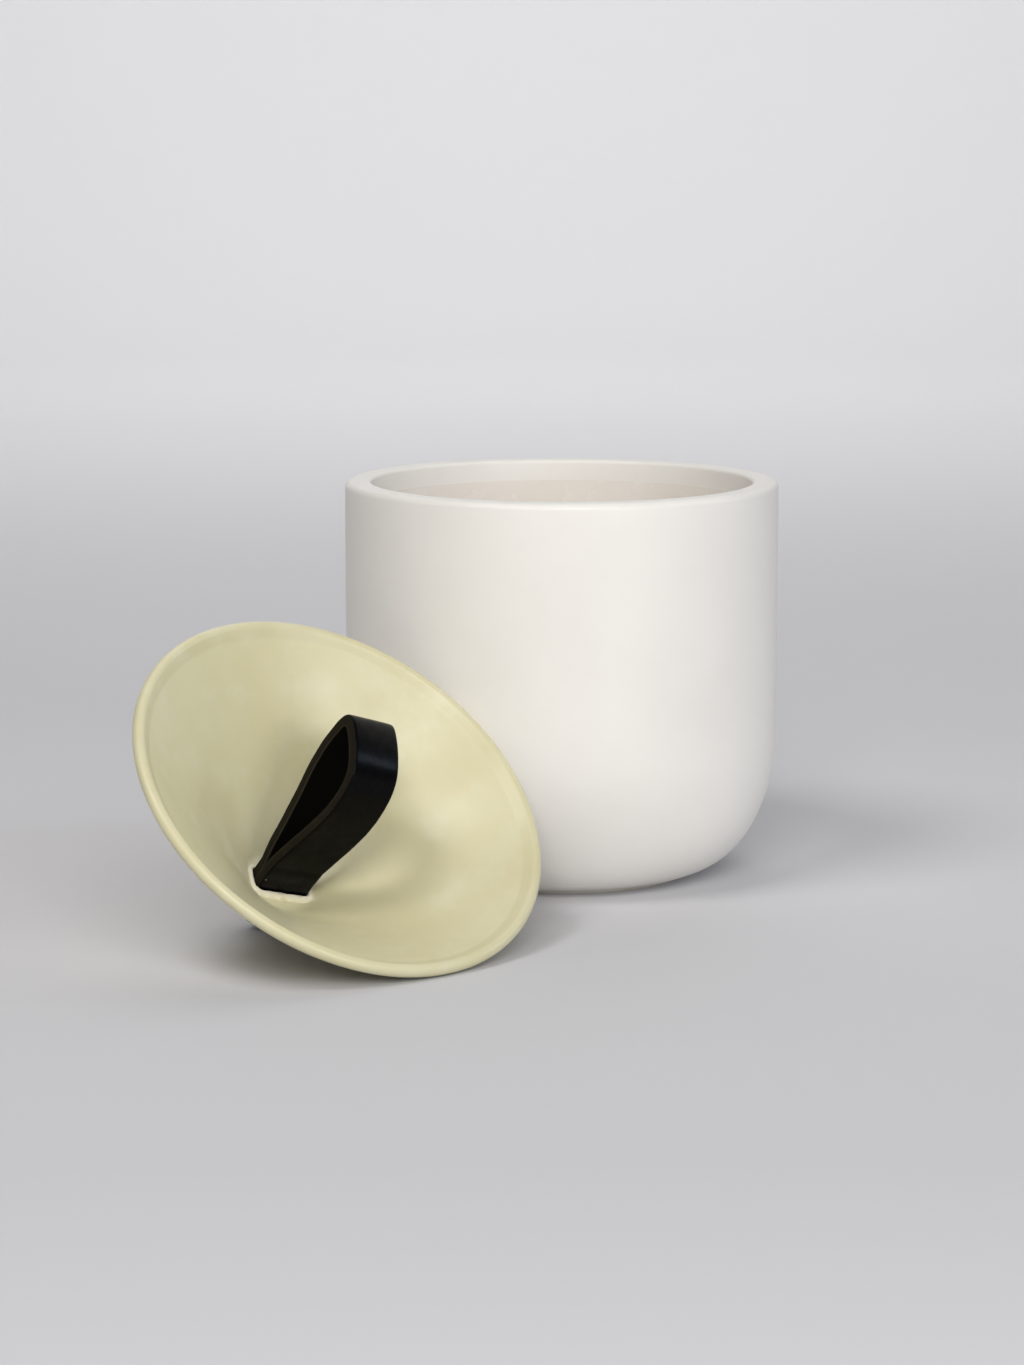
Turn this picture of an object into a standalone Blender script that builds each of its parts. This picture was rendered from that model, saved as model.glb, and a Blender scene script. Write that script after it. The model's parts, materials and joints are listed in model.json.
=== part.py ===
"""Lidded porcelain canister: a straight-walled jar, and its cone lid lifted off and leant beside it.

The lid carries a leather strap: one strip folded into a loop, its two ends pushed down through
a slot at the dish's bottom and held underneath by a binding screw. Origin at the centre of the
jar's foot, +Z up. The lid's own frame has Z along its axis, X along the strap's width and Y
through the strap's thickness.
"""

import math

import bmesh
import bpy
from mathutils import Matrix, Vector

MM = 0.001

# Jar
JAR_RADIUS = 70.0 * MM
JAR_HEIGHT = 127.4 * MM
JAR_BORE_RADIUS = 61.6 * MM
JAR_FLOOR_TOP = 9.5 * MM
JAR_CORNER_WIDTH = 28.2 * MM       # the outer bottom corner is a quarter ellipse
JAR_CORNER_HEIGHT = 44.1 * MM
JAR_LIP_OUTER_ROUND = 2.0 * MM
JAR_LIP_INNER_ROUND = 1.2 * MM
JAR_FOOT_RADIUS = 42.5 * MM
JAR_FOOT_HEIGHT = 1.3 * MM
JAR_FOOT_CHAMFER = 0.5 * MM

# Lid, in its own frame: Z = 0 is the plane of its widest circle
LID_RADIUS = 66.9 * MM
LID_ROLL_RADIUS = 2.0 * MM         # the rounded band around the lid's edge
LID_CONE_TOP_RADIUS = 62.9 * MM    # where the dish meets that band
LID_CONE_TOP_Z = 0.3 * MM
LID_DEPTH = 43.5 * MM
LID_EDGE_SLOPE = math.tan(math.radians(34.9))      # the dish steepens evenly towards its bottom
LID_BOTTOM_SLOPE = math.tan(math.radians(43.6))
LID_BOTTOM_RADIUS = 12.0 * MM
LID_EDGE_WALL = 3.05 * MM
LID_BOTTOM_WALL = 2.6 * MM
LID_SLOT_CUT = 32.0 * MM

# Where the lid leans
LID_CENTRE = Vector((-66.7 * MM, -118.1 * MM, 46.7 * MM))
LID_TILT = math.radians(43.1)
LID_LEAN_AZIMUTH = math.radians(-48.1)
LID_SPIN = math.radians(69.636)    # turns the strap's slot about the lid's axis

# Strap
STRAP_WIDTH = 16.9 * MM
STRAP_THICKNESS = 3.9 * MM
STRAP_BEND_DEPTH = 36.2 * MM       # the loop flexes on this line above the slot
STRAP_TAIL_DEPTH = 51.6 * MM       # centre of the tails' round ends
SLOT_CLEARANCE = 0.5 * MM
NODE_GAP = 0.4 * MM
LOOP_LEAN = math.radians(15.1)
LOOP_ROLL = math.radians(9.9)
LOOP_TWIST = math.radians(11.2)
LOOP_SPLIT_HEIGHT = 3.0 * MM       # the two runs of the strip part here
LOOP_SPINE = [                     # (thickness direction, height) of the strip's mid-line
    (-1.95 * MM, 0.0),
    (-6.8 * MM, 12.4 * MM),
    (-11.7 * MM, 31.0 * MM),
    (-8.5 * MM, 43.5 * MM),
    (7.0 * MM, 50.3 * MM),
    (10.5 * MM, 43.5 * MM),
    (9.9 * MM, 31.0 * MM),
    (4.1 * MM, 12.4 * MM),
    (1.95 * MM, 0.0),
]

# Binding screw through the tails
SCREW_DEPTH = 51.0 * MM
SCREW_HEAD_RADIUS = 4.5 * MM
SCREW_HEAD_THICKNESS = 1.5 * MM
SCREW_HEAD_EDGE = 0.8 * MM
POST_RADIUS = 2.5 * MM
POST_BORE_RADIUS = 1.8 * MM
POST_BORE_DEPTH = 5.6 * MM
SHANK_RADIUS = 1.45 * MM
SHANK_LENGTH = 5.6 * MM
TAIL_HOLE_RADIUS = 2.9 * MM
DRIVER_SLOT_WIDTH = 1.0 * MM
DRIVER_SLOT_DEPTH = 0.6 * MM

# Facets
TURN_STEPS = 56
SCREW_STEPS = 20
CORNER_POINTS = 8
SMALL_ARC_POINTS = 3
DISH_POINTS = 7
SPINE_POINTS_PER_SPAN = 5
MERGE_DISTANCE = 0.01 * MM

JAR_COLOUR = (0.85, 0.83, 0.78)
LID_COLOUR = (0.72, 0.70, 0.52)
STRAP_COLOUR = (0.02, 0.02, 0.022)
SCREW_COLOUR = (0.55, 0.54, 0.52)


# ---------------------------------------------------------------- helpers

def clear_scene():
    for found in list(bpy.data.objects):
        bpy.data.objects.remove(found, do_unlink=True)


def make_collection(name):
    collection = bpy.data.collections.new(name)
    bpy.context.scene.collection.children.link(collection)
    return collection


def make_material(name, colour, roughness, metallic=0.0):
    material = bpy.data.materials.new(name)
    material.use_nodes = True
    shader = material.node_tree.nodes["Principled BSDF"]
    shader.inputs["Base Color"].default_value = (*colour, 1.0)
    shader.inputs["Roughness"].default_value = roughness
    shader.inputs["Metallic"].default_value = metallic
    return material


def add_empty(name, collection, parent=None):
    empty = bpy.data.objects.new(name, None)
    empty.empty_display_size = 0.01
    collection.objects.link(empty)
    empty.parent = parent
    return empty


def add_mesh_object(name, mesh, collection, parent=None):
    made = bpy.data.objects.new(name, mesh)
    collection.objects.link(made)
    made.parent = parent
    return made


def arc(centre, radius, start, end, points):
    """Points on a circle from the start angle to the end angle, both included (radians)."""
    step = (end - start) / points
    angles = [start + step * index for index in range(points + 1)]
    return [(centre[0] + radius * math.cos(a), centre[1] + radius * math.sin(a)) for a in angles]


def quarter_ellipse(centre, width, height, start, end, points):
    step = (end - start) / points
    angles = [start + step * index for index in range(points + 1)]
    return [(centre[0] + width * math.cos(a), centre[1] + height * math.sin(a)) for a in angles]


def turned_object(name, profile, steps, collection, parent=None):
    """Turn an (x, z) outline about Z with a Screw modifier."""
    mesh = bpy.data.meshes.new(name)
    vertices = [(x, 0.0, z) for x, z in profile]
    edges = [(index, index + 1) for index in range(len(profile) - 1)]
    mesh.from_pydata(vertices, edges, [])
    turned = add_mesh_object(name, mesh, collection, parent)
    screw = turned.modifiers.new("turn", "SCREW")
    screw.axis = "Z"
    screw.angle = math.tau
    screw.steps = steps
    screw.render_steps = steps
    screw.use_merge_vertices = True
    screw.merge_threshold = MERGE_DISTANCE
    screw.use_smooth_shade = True
    return turned


def outline_object(name, outlines, half_thickness, collection, parent=None):
    """Fill flat closed outlines, with holes where one lies in another, and give them thickness."""
    curve = bpy.data.curves.new(name + "_outline", "CURVE")
    curve.dimensions = "2D"
    curve.fill_mode = "BOTH"
    curve.extrude = half_thickness
    for points in outlines:
        spline = curve.splines.new("POLY")
        spline.points.add(len(points) - 1)
        spline.use_cyclic_u = True
        for point, (x, y) in zip(spline.points, points):
            point.co = (x, y, 0.0, 1.0)
    drawn = bpy.data.objects.new(name + "_outline", curve)
    collection.objects.link(drawn)
    bpy.context.view_layer.update()
    evaluated = drawn.evaluated_get(bpy.context.evaluated_depsgraph_get())
    mesh = bpy.data.meshes.new_from_object(evaluated)
    mesh.name = name
    bpy.data.objects.remove(drawn, do_unlink=True)
    bpy.data.curves.remove(curve)
    welded = bmesh.new()
    welded.from_mesh(mesh)
    bmesh.ops.remove_doubles(welded, verts=welded.verts, dist=MERGE_DISTANCE)
    bmesh.ops.recalc_face_normals(welded, faces=welded.faces)
    welded.to_mesh(mesh)
    welded.free()
    return add_mesh_object(name, mesh, collection, parent)


def cut(target, cutter):
    boolean = target.modifiers.new("cut_" + cutter.name, "BOOLEAN")
    boolean.operation = "DIFFERENCE"
    boolean.solver = "EXACT"
    boolean.object = cutter
    cutter.hide_render = True
    cutter.display_type = "WIRE"


def box_cutter(name, size, location, cutters, parent):
    bpy.ops.mesh.primitive_cube_add(size=1.0)
    cutter = bpy.context.object
    cutter.name = name
    for owner in list(cutter.users_collection):
        owner.objects.unlink(cutter)
    cutters.objects.link(cutter)
    cutter.parent = parent
    cutter.data.transform(Matrix.Diagonal((*size, 1.0)))
    cutter.location = location
    return cutter


# ---------------------------------------------------------------- jar

def jar_profile():
    """From the middle of the inner floor, up and over the lip, down to the foot's middle."""
    wall = JAR_RADIUS - JAR_BORE_RADIUS
    inner_width = JAR_CORNER_WIDTH - 0.3 * wall
    inner_height = JAR_FOOT_HEIGHT + JAR_CORNER_HEIGHT - JAR_FLOOR_TOP
    inner_centre = (JAR_BORE_RADIUS - inner_width, JAR_FLOOR_TOP + inner_height)
    outer_centre = (JAR_RADIUS - JAR_CORNER_WIDTH, JAR_FOOT_HEIGHT + JAR_CORNER_HEIGHT)
    inner_lip = (JAR_BORE_RADIUS + JAR_LIP_INNER_ROUND, JAR_HEIGHT - JAR_LIP_INNER_ROUND)
    outer_lip = (JAR_RADIUS - JAR_LIP_OUTER_ROUND, JAR_HEIGHT - JAR_LIP_OUTER_ROUND)
    quarter = math.pi / 2
    profile = [(0.0, JAR_FLOOR_TOP)]
    profile += quarter_ellipse(inner_centre, inner_width, inner_height, -quarter, 0.0, CORNER_POINTS)
    profile += arc(inner_lip, JAR_LIP_INNER_ROUND, math.pi, quarter, SMALL_ARC_POINTS)
    profile += arc(outer_lip, JAR_LIP_OUTER_ROUND, quarter, 0.0, SMALL_ARC_POINTS)
    profile += quarter_ellipse(
        outer_centre, JAR_CORNER_WIDTH, JAR_CORNER_HEIGHT, 0.0, -quarter, CORNER_POINTS
    )[:-1]
    profile += [
        (JAR_FOOT_RADIUS, JAR_FOOT_HEIGHT + 0.1 * MM),
        (JAR_FOOT_RADIUS, JAR_FOOT_CHAMFER),
        (JAR_FOOT_RADIUS - JAR_FOOT_CHAMFER, 0.0),
        (0.0, 0.0),
    ]
    return profile


def make_jar(collection):
    jar = turned_object("jar", jar_profile(), TURN_STEPS, collection)
    jar.data.materials.append(make_material("jar_porcelain", JAR_COLOUR, 0.45))
    return jar


# ---------------------------------------------------------------- lid

def dish_slope(radius):
    """Fall of the dish towards its middle at a distance from the lid's axis."""
    share = (LID_CONE_TOP_RADIUS - radius) / (LID_CONE_TOP_RADIUS - LID_BOTTOM_RADIUS)
    return LID_EDGE_SLOPE + (LID_BOTTOM_SLOPE - LID_EDGE_SLOPE) * share


def dish_height(radius):
    run = LID_CONE_TOP_RADIUS - radius
    return LID_CONE_TOP_Z - run * (LID_EDGE_SLOPE + dish_slope(radius)) / 2


def underside_point(radius):
    """The point of the lid's underside that is square across the wall from the dish."""
    share = (LID_CONE_TOP_RADIUS - radius) / (LID_CONE_TOP_RADIUS - LID_BOTTOM_RADIUS)
    wall = LID_EDGE_WALL + (LID_BOTTOM_WALL - LID_EDGE_WALL) * share
    angle = math.atan(dish_slope(radius))
    return (radius + wall * math.sin(angle), dish_height(radius) - wall * math.cos(angle))


def lid_profile():
    """From the flat bottom's inside, up the dish, over the rolled edge, down the underside."""
    roll_centre = (LID_RADIUS - LID_ROLL_RADIUS, 0.0)
    top = LID_CONE_TOP_RADIUS - 0.5 * MM
    step = (top - LID_BOTTOM_RADIUS) / DISH_POINTS
    radii = [LID_BOTTOM_RADIUS + step * index for index in range(DISH_POINTS + 1)]
    under = -LID_DEPTH - LID_BOTTOM_WALL
    profile = [(0.0, -LID_DEPTH), (LID_BOTTOM_RADIUS - 4.4 * MM, -LID_DEPTH)]
    profile += [
        (LID_BOTTOM_RADIUS - 2.6 * MM, -LID_DEPTH + 0.25 * MM),
        (LID_BOTTOM_RADIUS - 1.2 * MM, -LID_DEPTH + 0.95 * MM),
    ]
    profile += [(radius, dish_height(radius)) for radius in radii]
    profile += arc(roll_centre, LID_ROLL_RADIUS, math.radians(160), math.radians(-75), 9)
    profile += [underside_point(radius) for radius in reversed(radii)]
    profile += [
        (LID_BOTTOM_RADIUS + 0.3 * MM, under + 1.25 * MM),
        (LID_BOTTOM_RADIUS - 0.8 * MM, under + 0.4 * MM),
        (LID_BOTTOM_RADIUS - 2.4 * MM, under),
        (0.0, under),
    ]
    return profile


def make_lid(collection, cutters, lid_frame):
    lid = turned_object("lid", lid_profile(), TURN_STEPS, collection, lid_frame)
    slot_size = (
        STRAP_WIDTH + 2 * SLOT_CLEARANCE,
        2 * STRAP_THICKNESS + 2 * SLOT_CLEARANCE,
        LID_SLOT_CUT,
    )
    slot = box_cutter("lid_slot", slot_size, (0.0, 0.0, -LID_DEPTH), cutters, lid_frame)
    cut(lid, slot)
    lid.data.materials.append(make_material("lid_glaze", LID_COLOUR, 0.3))
    return lid


# ---------------------------------------------------------------- strap

def spline_through(points, per_span):
    """Catmull-Rom curve through the points, its end tangents along the end spans."""
    before = (2 * points[0][0] - points[1][0], 2 * points[0][1] - points[1][1])
    after = (2 * points[-1][0] - points[-2][0], 2 * points[-1][1] - points[-2][1])
    padded = [before, *points, after]
    samples = []
    for index in range(len(points) - 1):
        p0, p1, p2, p3 = (Vector(point) for point in padded[index:index + 4])
        for step in range(per_span):
            t = step / per_span
            cubic = 2 * p1 + (p2 - p0) * t + (2 * p0 - 5 * p1 + 4 * p2 - p3) * t ** 2
            cubic += (3 * p1 - p0 - 3 * p2 + p3) * t ** 3
            samples.append(cubic / 2)
    samples.append(Vector(points[-1]))
    return samples


def offset_line(samples, distance):
    """The open line moved to its left by the distance."""
    moved = []
    for index, sample in enumerate(samples):
        ahead = samples[min(index + 1, len(samples) - 1)]
        behind = samples[max(index - 1, 0)]
        along = (ahead - behind).normalized()
        moved.append(sample + distance * Vector((-along.y, along.x)))
    return moved


def loop_outlines():
    """The strip seen along its width: outside with a round knuckle, and the finger gap."""
    spine = spline_through(LOOP_SPINE, SPINE_POINTS_PER_SPAN)
    outside = offset_line(spine, STRAP_THICKNESS / 2)
    inside = offset_line(spine, -STRAP_THICKNESS / 2)
    knuckle = arc((0.0, 0.0), STRAP_THICKNESS, 0.0, -math.pi, 8)
    outside = [(p.x, p.y) for p in outside if p.y > 0.6 * MM] + knuckle
    inside = [(p.x, p.y) for p in inside if p.y > LOOP_SPLIT_HEIGHT]
    return [outside, inside]


def lean_and_twist(point):
    """Roll the loop sideways over its lowest third, and twist it evenly towards its top."""
    height = max(point.z, 0.0)
    top = LOOP_SPINE[len(LOOP_SPINE) // 2][1]
    twist = LOOP_TWIST * height / top
    roll = LOOP_ROLL * min(1.0, 3.0 * height / top)
    across = point.x * math.cos(twist)
    return Vector((
        across + height * math.sin(roll),
        point.y + point.x * math.sin(twist),
        point.z - across * math.sin(roll),
    ))


def make_strap_loop(collection, lid_frame, material):
    loop = outline_object("strap_loop", loop_outlines(), STRAP_WIDTH / 2, collection, lid_frame)
    stand_on_edge = Matrix(((0, 0, 1, 0), (1, 0, 0, 0), (0, 1, 0, 0), (0, 0, 0, 1)))
    loop.data.transform(stand_on_edge)
    for vertex in loop.data.vertices:
        vertex.co = lean_and_twist(vertex.co)
    loop.location = (0.0, 0.0, -STRAP_BEND_DEPTH)
    loop.rotation_euler = (-LOOP_LEAN, 0.0, 0.0)
    loop.data.materials.append(material)
    return loop


def make_strap_tails(collection, lid_frame, material):
    half = STRAP_WIDTH / 2
    top = -(STRAP_BEND_DEPTH + STRAP_THICKNESS + NODE_GAP)
    strip = [(-half, top)] + arc((0.0, -STRAP_TAIL_DEPTH), half, -math.pi, 0.0, 14) + [(half, top)]
    hole = arc((0.0, -SCREW_DEPTH), TAIL_HOLE_RADIUS, 0.0, math.tau, SCREW_STEPS)[:-1]
    tails = outline_object("strap_tails", [strip, hole], STRAP_THICKNESS, collection, lid_frame)
    tails.data.transform(Matrix.Rotation(math.pi / 2, 4, "X"))
    tails.data.materials.append(material)
    return tails


# ---------------------------------------------------------------- binding screw

def head_profile(outer_z, inner_z):
    """A shallow domed head from its middle to its rim; outer_z is the domed side."""
    side = math.copysign(1.0, outer_z - inner_z)
    edge_z = inner_z + side * SCREW_HEAD_EDGE
    return [
        (0.0, outer_z),
        (0.55 * SCREW_HEAD_RADIUS, outer_z - side * 0.15 * MM),
        (0.9 * SCREW_HEAD_RADIUS, outer_z - side * 0.45 * MM),
        (SCREW_HEAD_RADIUS, edge_z),
        (SCREW_HEAD_RADIUS, inner_z),
    ]


def make_screw(collection, cutters, lid_frame, material):
    """A post with a blind bore from one side and a slotted screw in it from the other."""
    axis = add_empty("screw_axis", collection, lid_frame)
    axis.location = (0.0, 0.0, -SCREW_DEPTH)
    axis.rotation_euler = (-math.pi / 2, 0.0, 0.0)
    seat = STRAP_THICKNESS + NODE_GAP
    post_top = STRAP_THICKNESS - NODE_GAP
    post = [
        (0.0, post_top - POST_BORE_DEPTH),
        (POST_BORE_RADIUS, post_top - POST_BORE_DEPTH),
        (POST_BORE_RADIUS, post_top),
        (POST_RADIUS, post_top),
        (POST_RADIUS, -seat),
    ]
    post += reversed(head_profile(-seat - SCREW_HEAD_THICKNESS, -seat))
    screw = head_profile(seat + SCREW_HEAD_THICKNESS, seat)
    screw += [
        (SHANK_RADIUS, seat),
        (SHANK_RADIUS, seat - SHANK_LENGTH + 0.4 * MM),
        (SHANK_RADIUS - 0.4 * MM, seat - SHANK_LENGTH),
        (0.0, seat - SHANK_LENGTH),
    ]
    screw_post = turned_object("screw_post", post, SCREW_STEPS, collection, axis)
    binding_screw = turned_object("binding_screw", screw, SCREW_STEPS, collection, axis)
    slot_size = (3 * SCREW_HEAD_RADIUS, DRIVER_SLOT_WIDTH, 2 * DRIVER_SLOT_DEPTH)
    slot_place = (0.0, 0.0, seat + SCREW_HEAD_THICKNESS)
    cut(binding_screw, box_cutter("driver_slot", slot_size, slot_place, cutters, axis))
    for piece in (screw_post, binding_screw):
        piece.data.materials.append(material)


# ---------------------------------------------------------------- assembly

def place_lid_frame(collection):
    lid_frame = add_empty("lid_frame", collection)
    turn = Matrix.Rotation(LID_LEAN_AZIMUTH, 4, "Z") @ Matrix.Rotation(LID_TILT, 4, "Y")
    turn = turn @ Matrix.Rotation(LID_SPIN, 4, "Z")
    lid_frame.matrix_world = Matrix.Translation(LID_CENTRE) @ turn
    return lid_frame


def main():
    clear_scene()
    parts = make_collection("lidded_canister")
    cutters = make_collection("cutters")
    make_jar(parts)
    lid_frame = place_lid_frame(parts)
    make_lid(parts, cutters, lid_frame)
    leather = make_material("strap_leather", STRAP_COLOUR, 0.5)
    make_strap_tails(parts, lid_frame, leather)
    make_strap_loop(parts, lid_frame, leather)
    metal = make_material("screw_metal", SCREW_COLOUR, 0.35, 1.0)
    make_screw(parts, cutters, lid_frame, metal)


main()
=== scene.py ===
"""Looks of the lidded porcelain canister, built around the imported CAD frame.

The jar, the lid, the leather strap and the binding screw are each remade as a fine mesh in the
place of their CAD node. The lid, the strap and the screw take their places from the record's joints.
Lengths are in metres.
"""

import json
import math

import bmesh
import bpy
from mathutils import Matrix, Vector, noise


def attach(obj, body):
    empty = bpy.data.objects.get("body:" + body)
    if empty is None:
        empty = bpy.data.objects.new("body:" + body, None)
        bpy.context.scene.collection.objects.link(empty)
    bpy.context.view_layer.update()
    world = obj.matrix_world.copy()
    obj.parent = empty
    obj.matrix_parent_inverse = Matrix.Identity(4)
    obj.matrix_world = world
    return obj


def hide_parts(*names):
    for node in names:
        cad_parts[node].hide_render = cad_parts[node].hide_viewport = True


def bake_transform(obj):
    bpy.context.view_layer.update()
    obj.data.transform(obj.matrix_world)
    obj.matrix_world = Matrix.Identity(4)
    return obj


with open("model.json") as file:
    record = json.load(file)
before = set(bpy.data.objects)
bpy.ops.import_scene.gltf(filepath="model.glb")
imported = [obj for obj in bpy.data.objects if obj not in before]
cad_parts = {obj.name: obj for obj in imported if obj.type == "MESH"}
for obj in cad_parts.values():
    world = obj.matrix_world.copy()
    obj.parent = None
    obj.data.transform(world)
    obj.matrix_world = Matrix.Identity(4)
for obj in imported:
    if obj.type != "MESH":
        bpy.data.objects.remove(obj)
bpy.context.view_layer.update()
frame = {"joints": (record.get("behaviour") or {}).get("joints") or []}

MM = 0.001
QUARTER = math.pi / 2

# A true circle would stand proud of the CAD model's flat facets, so turned pieces are this much smaller
FACET_ALLOWANCE = 0.9982
PROFILE_END = 1e-7

# Jar
JAR_RADIUS = 70.0 * MM
JAR_HEIGHT = 127.4 * MM
JAR_BORE_RADIUS = 61.6 * MM
JAR_FLOOR_TOP = 9.5 * MM
JAR_CORNER_WIDTH = 28.2 * MM
JAR_CORNER_HEIGHT = 44.1 * MM
JAR_LIP_OUTER_ROUND = 2.0 * MM
JAR_LIP_INNER_ROUND = 1.2 * MM
JAR_FOOT_RADIUS = 42.5 * MM
JAR_FOOT_HEIGHT = 1.3 * MM
JAR_STEPS = 288

# Lid
LID_RADIUS = 66.9 * MM
LID_ROLL_RADIUS = 2.0 * MM
LID_CONE_TOP_RADIUS = 62.9 * MM
LID_CONE_TOP_Z = 0.3 * MM
LID_DEPTH = 43.5 * MM
LID_EDGE_SLOPE = math.tan(math.radians(34.9))
LID_BOTTOM_SLOPE = math.tan(math.radians(43.6))
LID_BOTTOM_RADIUS = 12.0 * MM
LID_EDGE_WALL = 3.05 * MM
LID_BOTTOM_WALL = 2.6 * MM
LID_FLAT_RADIUS = LID_BOTTOM_RADIUS - 4.4 * MM
LID_DISH_REACH = LID_CONE_TOP_RADIUS - 1.5 * MM
LID_DISH_POINTS = 110
LID_STEPS = 288
SLOT_HALF_LENGTH = 8.95 * MM
SLOT_HALF_WIDTH = 4.4 * MM
SLOT_CORNER = 1.6 * MM

# Strap
STRAP_WIDTH = 16.9 * MM
STRAP_THICKNESS = 3.84 * MM
STRAP_BEND_DEPTH = 36.2 * MM
STRAP_TAIL_END = 60.0 * MM
LOOP_LEAN = math.radians(15.1)
LOOP_ROLL = math.radians(9.9)
LOOP_TWIST = math.radians(11.2)
LOOP_SPINE = [
    (-1.95 * MM, 0.0),
    (-6.8 * MM, 12.4 * MM),
    (-11.7 * MM, 31.0 * MM),
    (-8.5 * MM, 43.5 * MM),
    (7.0 * MM, 50.3 * MM),
    (10.5 * MM, 43.5 * MM),
    (9.9 * MM, 31.0 * MM),
    (4.1 * MM, 12.4 * MM),
    (1.95 * MM, 0.0),
]
LOOP_TOP = 50.3 * MM
STRAP_SAMPLE = 0.6 * MM
STRAP_CROWN = 0.10 * MM
STRAP_FACE_ROUND = 0.50 * MM
STRAP_BACK_ROUND = 0.28 * MM
STRAP_TIP_HALF_WIDTH = 0.9 * MM

# The strap's sides, in the order of its materials
FACE, EDGE, BACK = 0, 1, 2

# Binding screw
SCREW_DEPTH = 51.0 * MM
SCREW_HEAD_RADIUS = 4.5 * MM
SCREW_SEAT = 4.3 * MM
SCREW_HEAD_THICKNESS = 1.5 * MM
SCREW_STEPS = 96
TAIL_HOLE_RADIUS = 2.9 * MM
DRIVER_SLOT_HALF_WIDTH = 0.5 * MM
DRIVER_SLOT_HALF_LENGTH = 6.0 * MM
DRIVER_SLOT_DEPTH = 0.6 * MM

# Studio, with the ranges given along the view's depth
FLOOR_COLOUR = (0.585, 0.582, 0.597, 1.0)
FLOOR_MIDDLE_COLOUR = (0.725, 0.718, 0.735, 1.0)
WALL_COLOUR = (0.89, 0.888, 0.90, 1.0)
FLOOR_MIDDLE = (-0.35, 0.15)
FLOOR_FAR = (1.5, 3.0)
FLOOR_RADIUS = 2.2
SWEEP_RADIUS = 0.7
WALL_HEIGHT = 2.6
SWEEP_STEPS = 96
STUDIO_TARGET = Vector((-0.02, -0.04, 0.06))
WHITE = (1.0, 1.0, 1.0)


# ---------------------------------------------------------------- places from the record

def joint_named(name):
    return next(joint for joint in frame["joints"] if joint["name"] == name)


def joint_axis(name):
    return Vector(joint_named(name)["axis"]).normalized()


def joint_place(name):
    return Vector(joint_named(name)["pos_m"])


def lid_matrix():
    """The lid's own frame: X along the strap's width, Y through its thickness, Z up the lid's axis."""
    across = joint_axis("loop_flop")
    through = joint_axis("lid_level")
    up = across.cross(through).normalized()
    turn = Matrix((across, through, up)).transposed().to_4x4()
    return Matrix.Translation(joint_place("lid_level") + SCREW_DEPTH * up) @ turn


def screw_matrix(lid_frame):
    turn = Matrix.Rotation(-QUARTER, 4, "X")
    return lid_frame @ Matrix.Translation((0.0, 0.0, -SCREW_DEPTH)) @ turn


# ---------------------------------------------------------------- mesh helpers

def smoothstep(value):
    value = min(max(value, 0.0), 1.0)
    return value * value * (3.0 - 2.0 * value)


def arc(centre, width, height, start, end, points):
    """Points on an ellipse from the start angle to the end angle, both included."""
    angles = [start + (end - start) * index / points for index in range(points + 1)]
    return [(centre[0] + width * math.cos(a), centre[1] + height * math.sin(a)) for a in angles]


def straight(start, end, points):
    """Points between two ends, the ends themselves left out."""
    shares = [index / points for index in range(1, points)]
    return [tuple(a + (b - a) * share for a, b in zip(start, end)) for share in shares]


def softened(points, passes):
    """The open line with its kinks eased; its ends stay."""
    for _turn in range(passes):
        middle = [
            (before + 2.0 * point + after) / 4.0
            for before, point, after in zip(points, points[1:], points[2:])
        ]
        points = [points[0], *middle, points[-1]]
    return points


def new_object(name, mesh, matrix=None):
    made = bpy.data.objects.new(name, mesh)
    bpy.context.scene.collection.objects.link(made)
    if matrix is not None:
        made.matrix_world = matrix
    bpy.context.view_layer.update()
    return made


def settle(piece):
    """Put the piece's placement into its mesh, so that its box is its own and not a turned one."""
    piece.data.transform(piece.matrix_world)
    piece.matrix_world = Matrix.Identity(4)
    return piece


def mesh_from(name, built):
    bmesh.ops.recalc_face_normals(built, faces=built.faces)
    mesh = bpy.data.meshes.new(name)
    built.to_mesh(mesh)
    built.free()
    return mesh


def turned_mesh(name, profile, steps, shape=None):
    """Turn (radius, height, zone) points about Z. Both ends lie on the axis, so the mesh is closed."""
    built = bmesh.new()
    rings = []
    for radius, height, _zone in profile:
        if radius < PROFILE_END:
            rings.append([built.verts.new((0.0, 0.0, height))])
            continue
        ring = []
        for index in range(steps):
            angle = math.tau * index / steps
            r, z = shape(radius, height, angle) if shape else (radius, height)
            ring.append(built.verts.new((r * math.cos(angle), r * math.sin(angle), z)))
        rings.append(ring)
    for first, second, (_r, _z, zone) in zip(rings, rings[1:], profile[1:]):
        for index in range(steps):
            after = (index + 1) % steps
            if len(first) == 1:
                corners = (first[0], second[after], second[index])
            elif len(second) == 1:
                corners = (first[index], first[after], second[0])
            else:
                corners = (first[index], first[after], second[after], second[index])
            face = built.faces.new(corners)
            face.material_index = zone
            face.smooth = True
    return mesh_from(name, built)


def zoned(points, zone):
    return [(max(x, 0.0), z, zone) for x, z in points]


def apply_modifiers(piece):
    evaluated = piece.evaluated_get(bpy.context.evaluated_depsgraph_get())
    mesh = bpy.data.meshes.new_from_object(evaluated)
    piece.modifiers.clear()
    piece.data = mesh
    return piece


def combine(piece, other, operation):
    """Cut the other object out of the piece, or join it on, and drop the other object."""
    boolean = piece.modifiers.new(operation.lower(), "BOOLEAN")
    boolean.operation = operation
    boolean.solver = "EXACT"
    boolean.object = other
    bpy.context.view_layer.update()
    apply_modifiers(piece)
    bpy.data.objects.remove(other, do_unlink=True)
    return piece


def prism_mesh(name, outline, low, high):
    """A closed upright prism over a flat outline."""
    built = bmesh.new()
    rings = [[built.verts.new((x, y, z)) for x, y in outline] for z in (low, high)]
    built.faces.new(rings[0])
    built.faces.new(rings[1])
    for index in range(len(outline)):
        after = (index + 1) % len(outline)
        built.faces.new((rings[0][index], rings[0][after], rings[1][after], rings[1][index]))
    return mesh_from(name, built)


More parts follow.
